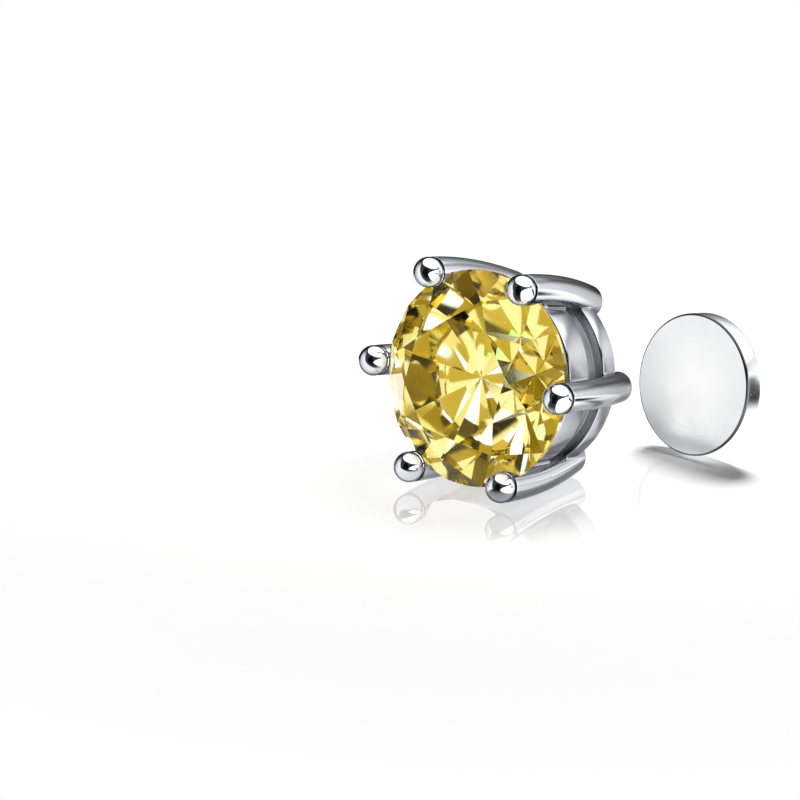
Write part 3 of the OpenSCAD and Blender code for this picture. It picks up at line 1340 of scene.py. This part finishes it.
@dataclass(frozen=True)
class Panel:
    """A soft light or a dark card far from the earring, seen only in reflections.

    Attributes:
        azimuth: Where its middle is, in degrees round from the stone's front.
        elevation: Degrees above the table.
        width: Half its width, in degrees.
        height: Half its height, in degrees.
        light: How bright it is.
        soft: How wide its soft edge is, in degrees.
        corner: 2 for a round panel, more for squarer corners.
        roll: Its turn about its middle, in degrees.
        tint: Its colour.
    """

    azimuth: float
    elevation: float
    width: float
    height: float
    light: float
    soft: float = 4.0
    corner: float = 6.0
    roll: float = 0.0
    tint: Colour = WHITE

    def settings(self) -> dict[str, Any]:
        """Gives the inputs of its mask."""
        azimuth, roll, width, height, soft = degrees(
            self.azimuth, self.roll, self.width, self.height, self.soft
        )
        forward = heading(self.azimuth, self.elevation)
        turn = Matrix.Rotation(roll, 3, forward)
        right = turn @ Vector((math.cos(azimuth), math.sin(azimuth), 0.0))
        ways = {"Forward": forward, "Right": right, "Up": forward.cross(right)}
        sizes = {"Width": width, "Height": height, "Soft": soft, "Corner": self.corner}
        return {**{name: tuple(way) for name, way in ways.items()}, **sizes}


def make_panel_mask() -> NodeTree:
    """Makes the mask of one panel, as seen along a direction.

    Returns:
        A shader group that puts out 1 inside the panel and 0 outside.
    """
    inputs = dict.fromkeys(("Direction", "Forward", "Right", "Up"), Shape.VECTOR)
    inputs |= dict.fromkeys(("Width", "Height", "Soft", "Corner"), Shape.VALUE)
    g, start, end = make_group("panel_mask", "ShaderNodeTree", inputs, {"Mask": Shape.VALUE})
    given = start.outputs
    ahead, aside, above = (
        g.vector("DOT_PRODUCT", given["Direction"], given[way]) for way in ("Forward", "Right", "Up")
    )
    across = g.math("DIVIDE", g.math("ABSOLUTE", g.math("ARCTAN2", aside, ahead)), given["Width"])
    along = g.math("DIVIDE", g.math("ABSOLUTE", g.math("ARCSINE", above)), given["Height"])
    powers = [g.math("POWER", share, given["Corner"]) for share in (across, along)]
    reach = g.math("POWER", g.math("ADD", *powers), g.math("DIVIDE", 1.0, given["Corner"]))
    smaller = g.math("MINIMUM", given["Width"], given["Height"])
    edge = g.math("DIVIDE", g.math("MULTIPLY", g.math("SUBTRACT", 1.0, reach), smaller), given["Soft"])
    g.fill(end, {"Mask": g.ramp(edge, -0.5, 0.5)})
    return g.tree


@dataclass(frozen=True)
class Surroundings:
    """What a shiny piece sees all round, below the table's level too.

    Attributes:
        name: The name of its node group.
        base: Light between the panels.
        panels: The panels in order, each over those before it.
        sparkle: Brightest of the patches of light that lie all round, or 0 for none.
        patch_place: Where the patches are read, so that they fall well on the facets.
    """

    name: str
    base: float
    panels: tuple[Panel, ...]
    sparkle: float = 0.0
    patch_place: tuple[float, float, float] = (0.0, 0.0, 0.0)

    def make(self) -> NodeTree:
        """Makes the group that gives the light from each direction."""
        inputs, outputs = {"Direction": Shape.VECTOR}, {"Light": Shape.COLOUR}
        g, start, end = make_group(self.name, "ShaderNodeTree", inputs, outputs)
        direction = g.vector("NORMALIZE", start.outputs["Direction"])
        light: Any = (self.base, self.base, self.base)
        if self.sparkle > 0.0:
            place = g.vector("ADD", direction, self.patch_place)
            patches = g.node("ShaderNodeTexVoronoi", {"Vector": place, "Scale": 2.6}, feature="F1")
            chance = g.split(patches.outputs["Color"])[0]
            dim = g.math("POWER", g.math("SUBTRACT", 1.0, chance, clamp=True), 1.9)
            bright = g.math("MULTIPLY", g.math("SUBTRACT", 1.0, dim), self.sparkle)
            green = g.math("MULTIPLY_ADD", chance, 0.45, 0.62)
            blue = g.math("MULTIPLY_ADD", g.math("MULTIPLY", chance, chance), 1.6, 0.02)
            shades = g.node("ShaderNodeCombineXYZ", {0: 1.0, 1: green, 2: blue}).outputs[0]
            light = g.vector("SCALE", shades, g.math("ADD", bright, self.base))
        for panel in self.panels:
            settings = {"Direction": direction, **panel.settings()}
            mask = g.group(group_of(make_panel_mask, "panel_mask"), settings)["Mask"]
            light = g.mix(mask, light, tuple(panel.light * part for part in panel.tint))
        g.fill(end, {"Light": light})
        return g.tree

    def light(self, g: Graph, direction: Any) -> NodeSocket:
        """Adds the group to a tree and gives the light from a direction."""
        return g.group(group_of(self.make, self.name), {"Direction": direction})["Light"]


METAL_SURROUNDINGS = Surroundings(
    "metal_surroundings",
    0.05,
    (
        Panel(186.0, 13.0, 28.0, 9.0, 0.2, 8.0),
        Panel(200.0, 18.0, 14.0, 5.0, 0.42, 5.0),
        Panel(150.0, -6.0, 26.0, 26.0, 1.2, 20.0, 3.0),
        Panel(165.0, -53.0, 36.0, 11.0, 0.85, 8.0, 3.0),
        Panel(205.0, -25.0, 18.0, 12.0, 0.2, 12.0, 3.0),
        Panel(190.0, 25.0, 17.0, 4.0, 0.9, 4.0),
        Panel(145.0, 72.0, 50.0, 50.0, 2.2, 6.0, 2.0),
        Panel(90.0, -21.0, 58.0, 41.0, 2.0, 4.0, 2.3),
        Panel(130.0, -6.0, 10.0, 14.0, 0.04, 7.0, 4.0),
        Panel(124.0, 26.0, 5.0, 14.0, 0.2, 5.0, 4.0),
        Panel(124.0, -38.0, 5.0, 16.0, 0.25, 5.0, 4.0),
        Panel(12.0, 15.0, 22.0, 30.0, 0.005, 8.0, 2.0),
        Panel(306.0, -5.0, 22.0, 44.0, 0.76, 24.0, 3.0, 27.0),
        Panel(324.0, -8.0, 13.0, 50.0, 1.05, 8.0, 3.0, 27.0),
        Panel(0.0, -90.0, 26.0, 26.0, 0.3, 12.0, 2.0),
        Panel(267.0, -15.5, 11.0, 7.0, 2.6, 4.0, 2.0, 0.0, (0.9, 1.0, 1.3)),
    ),
)

STONE_SURROUNDINGS = Surroundings(
    "stone_surroundings",
    0.06,
    (
        Panel(37.6, 16.3, 13.0, 13.0, 0.02, 3.0, 2.0),
        Panel(0.0, 28.0, 3.0, 6.0, 3.4, 2.0, 2.0, 0.0, (1.0, 0.35, 0.05)),
        Panel(8.0, -18.0, 6.0, 3.0, 3.0, 2.0, 2.0, 0.0, (0.25, 1.0, 0.3)),
    ),
    1.3,
    (0.3, 1.7, 4.1),
)


@dataclass
class Studio:
    """Floor, lights, surroundings and camera.

    Attributes:
        metal: What the metal and the facets' faces mirror.
        stone: What is seen through the stone.
        soft_light: Even light on whatever isn't shiny, such as the table.
        eye_height: Height, in metres, from which the table's part of the surroundings is laid out.
        lamp_distance: Distance of a lamp, in metres, as those below.
        table_size: Half the table's width.
        mirror: How much of a mirror the table is under the head.
        head_foot: Where the head lies.
        mirror_fade: Distances from there between which the mirror fades out.
        backdrop_fade: Distances from the middle between which the table runs out into white.
        near_fade: Distances from the middle between which the painted grey glow that it shows in reflections
            fades out.
    """

    metal: Surroundings = METAL_SURROUNDINGS
    stone: Surroundings = STONE_SURROUNDINGS
    soft_light: float = 0.15
    eye_height: float = 0.0043
    lamp_distance: float = 0.25
    table_size: float = 2.0
    mirror: float = 0.42
    head_foot: tuple[float, float, float] = (-0.0012, -0.003, 0.0)
    mirror_fade: Point2 = (0.0045, 0.0085)
    backdrop_fade: Point2 = (0.016, 0.034)
    near_fade: Point2 = (0.005, 0.01)

    @staticmethod
    def either(g: Graph, share: Any, first: Node, second: Node) -> Node:
        """Mixes two shaders by a share."""
        return g.node("ShaderNodeMixShader", {0: share, 1: first.outputs[0], 2: second.outputs[0]})

    def build_world(self) -> None:
        """Makes the white backdrop and, for reflections, the panels round the earring."""
        world = bpy.data.worlds.new("studio")
        bpy.context.scene.world = world
        world.use_nodes = True
        world.cycles.sampling_method = "NONE"
        g = Graph(world.node_tree)
        out = g.node("ShaderNodeOutputWorld")
        direction = g.node("ShaderNodeTexCoord").outputs["Generated"]
        metal, stone = (
            g.node("ShaderNodeBackground", {"Color": view.light(g, direction), "Strength": 1.0})
            for view in (self.metal, self.stone)
        )
        even, white = (
            g.node("ShaderNodeBackground", {"Color": WHITE, "Strength": strength})
            for strength in (self.soft_light, 1.0)
        )
        path = g.node("ShaderNodeLightPath").outputs
        mirrored = g.math("SUBTRACT", path["Is Singular Ray"], path["Is Transmission Ray"], clamp=True)
        plain = g.math("MAXIMUM", mirrored, path["Is Camera Ray"])
        seen = self.either(g, path["Is Transmission Ray"], metal, stone)
        seen = self.either(g, path["Is Diffuse Ray"], seen, even)
        g.fill(out, {"Surface": self.either(g, plain, seen, white).outputs[0]})

    def build_floor(self) -> None:
        """Makes the plain white table, which runs out into the white backdrop, and shows as painted light in
        mirror images and through the stone.
        """
        size = self.table_size
        corners = [(-size, -size, 0.0), (size, -size, 0.0), (size, size, 0.0), (-size, size, 0.0)]
        obj = mesh_object("tabletop", corners, [(0, 1, 2, 3)])
        material, g, shader, out = new_material("tabletop")
        coords = g.node("ShaderNodeTexCoord").outputs["Object"]
        away = g.vector("LENGTH", coords)
        tone = g.mix(g.noise(coords, 900.0, 3.0), (0.9, 0.9, 0.9), (0.92, 0.92, 0.92))
        g.fill(shader, {"Base Color": tone, "Roughness": 0.6, "Specular IOR Level": 0.0})
        mirror = g.node("ShaderNodeBsdfAnisotropic", {"Roughness": 0.0})
        from_head = g.vector("LENGTH", g.vector("SUBTRACT", coords, self.head_foot))
        table = self.either(g, g.ramp(from_head, *self.mirror_fade, self.mirror, 0.0), shader, mirror)
        far = self.either(g, g.ramp(away, *self.backdrop_fade), table, plain_light(g, 1.0))
        # Painted light: in mirror images the table glows with the metal's surroundings, grey near the
        # middle; through the stone, with the stone's surroundings.
        seen_from = g.vector("SUBTRACT", coords, (0.0, 0.0, self.eye_height))
        close_by = g.ramp(away, *self.near_fade, 0.65, 0.0)
        below = g.mix(close_by, self.metal.light(g, seen_from), (0.62, 0.63, 0.65))
        metal = plain_light(g, 1.0, below)
        stone = plain_light(g, 1.0, self.stone.light(g, seen_from))
        path = g.node("ShaderNodeLightPath").outputs
        shiny = g.math("MAXIMUM", path["Is Glossy Ray"], path["Is Transmission Ray"])
        seen = self.either(g, path["Is Transmission Ray"], metal, stone)
        g.fill(out, {"Surface": self.either(g, shiny, far, seen).outputs[0]})
        obj.data.materials.append(material)

    def build_light(
        self, name: str, azimuth: float, elevation: float, size: float, power: float, blocker: str
    ) -> None:
        """Hangs one soft lamp over the table.

        Args:
            name: The lamp's name.
            azimuth: Degrees round from the stone's front.
            elevation: Degrees above the table.
            size: Its width, in metres.
            power: Its power, in watts.
            blocker: The one piece that casts a shadow in its light.
        """
        lamp = bpy.data.lights.new(name, "AREA")
        lamp.shape = "DISK"
        lamp.size = size
        lamp.energy = power
        obj = bpy.data.objects.new(name, lamp)
        towards = heading(azimuth, elevation)
        obj.location = towards * self.lamp_distance
        obj.rotation_mode = "QUATERNION"
        obj.rotation_quaternion = towards.to_track_quat("Z", "Y")
        obj.visible_camera = obj.visible_glossy = obj.visible_transmission = False
        casting = bpy.data.collections.new(f"{name}_shadows")
        casting.objects.link(bpy.data.objects[blocker])
        obj.light_linking.blocker_collection = casting
        bpy.context.scene.collection.objects.link(obj)

    def build_camera(self, own: OwnFrame) -> None:
        """Sets the camera up as in the photograph.

        Args:
            own: The head's frame, whose zero is where the camera was fitted.
        """
        azimuth, elevation, distance, lens = 37.6, 16.3, 0.173, 212.8
        aside, above = 2.359 * MM, 0.75 * MM
        back = heading(azimuth, elevation)
        right = Vector((0.0, 0.0, 1.0)).cross(back).normalized()
        up = back.cross(right)
        data = bpy.data.cameras.new("camera")
        data.lens = lens
        data.sensor_width = 36.0
        data.clip_start = 0.01
        data.clip_end = 10.0
        camera = bpy.data.objects.new("camera", data)
        aim = own.origin - right * aside - up * above
        camera.location = aim + back * distance
        camera.rotation_mode = "QUATERNION"
        camera.rotation_quaternion = back.to_track_quat("Z", "Y")
        bpy.context.scene.collection.objects.link(camera)
        bpy.context.scene.camera = camera

    def set_film(self) -> None:
        """Sets how light is traced and shown."""
        scene = bpy.context.scene
        scene.view_settings.view_transform = "Standard"
        scene.view_settings.look = "None"
        scene.cycles.max_bounces = 28
        scene.cycles.transmission_bounces = 24
        scene.cycles.glossy_bounces = 12
        scene.cycles.transparent_max_bounces = 16
        scene.cycles.sample_clamp_indirect = 6.0
        scene.cycles.blur_glossy = 0.2

    def build(self, own: OwnFrame) -> None:
        """Builds the whole studio round the head."""
        self.build_world()
        self.build_floor()
        self.build_light("lamp_over", 203.0, 60.0, 0.085, 0.75, "loose_disc")
        self.build_camera(own)
        self.set_film()


def main() -> None:
    """Builds the earring and its studio."""
    logging.basicConfig(level=logging.INFO, format="%(name)s %(message)s")
    depths = HeadDepths()
    head = OwnFrame.at_mount("head_back", -depths.back, -1.0)
    head_back = OwnFrame.at_mount("head_back", 0.0, 1.0)
    disc_face = OwnFrame.at_mount("disc_face", 0.0, 1.0)
    silver = PolishedSilver().make(head)
    stone = Brilliant(depths)
    stone.build(head, YellowStone().make(head))
    prongs = Prongs(depths, stone)
    prongs.build(head, silver)
    gallery = Gallery(depths, stone)
    gallery.build(head, silver)
    Solder(depths, prongs, gallery).build(head, silver)
    plate = TurnedNickel("plated_magnet", roughness=0.24).make(head_back)
    Magnet("head_magnet_disc", "head_magnet", "plated_magnet", 2.299, 0.7, 0.05).build(head_back, plate)
    nickel = TurnedNickel("polished_nickel", mirrored=False, edge_radius=2.6).make(disc_face)
    Magnet("loose_disc", "back_magnet", "polished_nickel", 2.696, 0.836, 0.1).build(disc_face, nickel)
    Studio().build(head)


if __name__ == "__main__":
    main()
